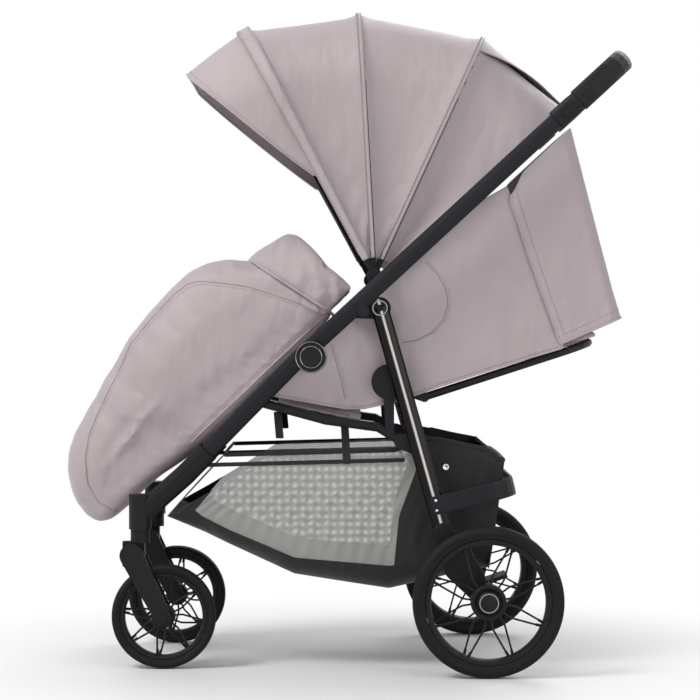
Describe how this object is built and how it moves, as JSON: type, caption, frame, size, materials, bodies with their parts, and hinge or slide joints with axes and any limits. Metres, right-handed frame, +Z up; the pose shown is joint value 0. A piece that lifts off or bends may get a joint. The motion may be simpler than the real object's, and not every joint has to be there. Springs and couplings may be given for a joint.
{
  "type": "pushchair",
  "caption": "Folding four-wheel pushchair with reclining seat, folding hood, padded footmuff, mesh basket and sprung swivel front wheels.",
  "frame": {"origin": "on the floor, under the middle of the pushchair's bounding box", "axes": "+Z up, -Y the way it is pushed, +X its left side"},
  "size_m": [0.5896, 0.9868, 1.1322],
  "materials": {
    "frame_paint": "satin",
    "dark_chrome": "polished",
    "black_plastic": "matte",
    "bright_trim": "polished",
    "tyre_rubber": "matte",
    "leatherette": "satin",
    "taupe_cloth": "matte",
    "grey_mesh": "matte"
  },
  "bodies": {
    "front_frame": {"front_leg_left": "frame_paint", "front_leg_right": "frame_paint", "swivel_housing_left": "black_plastic", "swivel_housing_right": "black_plastic", "hinge_cover_left": "black_plastic", "hinge_cover_right": "black_plastic", "knuckle_left": "black_plastic", "knuckle_right": "black_plastic", "seat_tube_left": "frame_paint", "seat_tube_right": "frame_paint", "seat_board": "taupe_cloth", "seat_pad": "taupe_cloth", "footmuff": "taupe_cloth", "basket": "grey_mesh"},
    "upper_frame": {"push_tube_left": "frame_paint", "push_tube_right": "frame_paint", "handle_collar_left": "black_plastic", "handle_collar_right": "black_plastic", "hood_pivot_left": "black_plastic", "hood_pivot_right": "black_plastic", "seat_side_left": "taupe_cloth", "seat_side_right": "taupe_cloth", "handle_grip": "leatherette", "back_cover": "taupe_cloth", "hood_panel_rear": "taupe_cloth"},
    "rear_frame": {"rear_leg_left": "dark_chrome", "rear_leg_right": "dark_chrome", "rear_housing_left": "black_plastic", "rear_housing_right": "black_plastic", "rear_axle": "frame_paint", "rear_stand_bar": "frame_paint"},
    "brake": {"brake_pedal": "black_plastic"},
    "recline_bracket": {"recline_cover_left": "black_plastic", "recline_cover_right": "black_plastic"},
    "backrest": {"backrest_frame": "frame_paint", "backrest_pad": "taupe_cloth"},
    "hood_rear": {"hood_hoop_rear": "frame_paint", "hood_panel_mid": "taupe_cloth"},
    "hood_mid": {"hood_hoop_mid": "frame_paint", "hood_panel_front": "taupe_cloth"},
    "hood_front": {"hood_hoop_front": "frame_paint", "hood_visor": "taupe_cloth"},
    "swivel_left": {"swivel_crown_left": "black_plastic"},
    "fork_left": {"front_fork_left": "black_plastic", "front_axle_left": "bright_trim"},
    "front_wheel_left": {"front_tyre_left": "tyre_rubber", "front_wheel_rim_left": "black_plastic"},
    "rear_wheel_left": {"rear_tyre_left": "tyre_rubber", "rear_wheel_rim_left": "black_plastic", "rear_hub_cap_left": "black_plastic"},
    "swivel_right": {"swivel_crown_right": "black_plastic"},
    "fork_right": {"front_fork_right": "black_plastic", "front_axle_right": "bright_trim"},
    "front_wheel_right": {"front_tyre_right": "tyre_rubber", "front_wheel_rim_right": "black_plastic"},
    "rear_wheel_right": {"rear_tyre_right": "tyre_rubber", "rear_wheel_rim_right": "black_plastic", "rear_hub_cap_right": "black_plastic"}
  },
  "joints": [
    {"name": "fold", "type": "hinge", "parent": "front_frame", "child": "upper_frame", "pos_m": [0, 0.02301, 0.61518], "axis": [1, 0, 0], "range_deg": [-146, 0], "deforming": ["seat_side_left", "seat_side_right", "back_cover", "basket"]},
    {"name": "rear_leg_fold", "type": "hinge", "parent": "front_frame", "child": "rear_frame", "pos_m": [0, 0.05174, 0.62032], "axis": [1, 0, 0], "range_deg": [-51, 0.5]},
    {"name": "backrest_fold", "type": "hinge", "parent": "front_frame", "child": "recline_bracket", "pos_m": [0, 0.0675, 0.4946], "axis": [1, 0, 0], "range_deg": [-92.5, 0.5]},
    {"name": "recline", "type": "hinge", "parent": "recline_bracket", "child": "backrest", "pos_m": [0, 0.0675, 0.4946], "axis": [1, 0, 0], "range_deg": [0, 50]},
    {"name": "hood_fold", "type": "hinge", "parent": "upper_frame", "child": "hood_rear", "pos_m": [0, 0.042, 0.675], "axis": [1, 0, 0], "range_deg": [-14, 0], "deforming": ["hood_panel_rear"]},
    {"name": "hood_fold_mid", "type": "hinge", "parent": "hood_rear", "child": "hood_mid", "pos_m": [0, 0.042, 0.675], "axis": [1, 0, 0], "range_deg": [-23.5, 0.5], "deforming": ["hood_panel_mid"]},
    {"name": "hood_fold_front", "type": "hinge", "parent": "hood_mid", "child": "hood_front", "pos_m": [0, 0.042, 0.675], "axis": [1, 0, 0], "range_deg": [-19, 0.5], "deforming": ["hood_panel_front"]},
    {"name": "brake_press", "type": "hinge", "parent": "rear_frame", "child": "brake", "pos_m": [0, 0.2328, 0.1275], "axis": [1, 0, 0], "range_deg": [-15, 0]},
    {"name": "swivel_turn_left", "type": "hinge", "parent": "front_frame", "child": "swivel_left", "pos_m": [0.16, -0.3603, 0.24], "axis": [0, 0, 1], "continuous": true},
    {"name": "suspension_left", "type": "hinge", "parent": "swivel_left", "child": "fork_left", "pos_m": [0.16, -0.3785, 0.2078], "axis": [1, 0, 0], "range_deg": [0, 6], "stiffness_Nm_per_rad": 40, "springref_deg": -5.73},
    {"name": "front_wheel_spin_left", "type": "hinge", "parent": "fork_left", "child": "front_wheel_left", "pos_m": [0.16, -0.3195, 0.09], "axis": [1, 0, 0], "continuous": true},
    {"name": "swivel_turn_right", "type": "hinge", "parent": "front_frame", "child": "swivel_right", "pos_m": [-0.16, -0.3603, 0.24], "axis": [0, 0, 1], "continuous": true},
    {"name": "suspension_right", "type": "hinge", "parent": "swivel_right", "child": "fork_right", "pos_m": [-0.16, -0.3785, 0.2078], "axis": [1, 0, 0], "range_deg": [0, 6], "stiffness_Nm_per_rad": 40, "springref_deg": -5.73},
    {"name": "front_wheel_spin_right", "type": "hinge", "parent": "fork_right", "child": "front_wheel_right", "pos_m": [-0.16, -0.3195, 0.09], "axis": [1, 0, 0], "continuous": true},
    {"name": "rear_wheel_spin_left", "type": "hinge", "parent": "rear_frame", "child": "rear_wheel_left", "pos_m": [0.2725, 0.2328, 0.1275], "axis": [1, 0, 0], "continuous": true},
    {"name": "rear_wheel_spin_right", "type": "hinge", "parent": "rear_frame", "child": "rear_wheel_right", "pos_m": [-0.2725, 0.2328, 0.1275], "axis": [1, 0, 0], "continuous": true}
  ],
  "couplings": [
    {"joint": "rear_leg_fold", "follows": "fold", "ratio": 0.346},
    {"joint": "backrest_fold", "follows": "fold", "ratio": 0.63},
    {"joint": "hood_fold_mid", "follows": "hood_fold", "ratio": 1.64},
    {"joint": "hood_fold_front", "follows": "hood_fold", "ratio": 1.307}
  ]
}
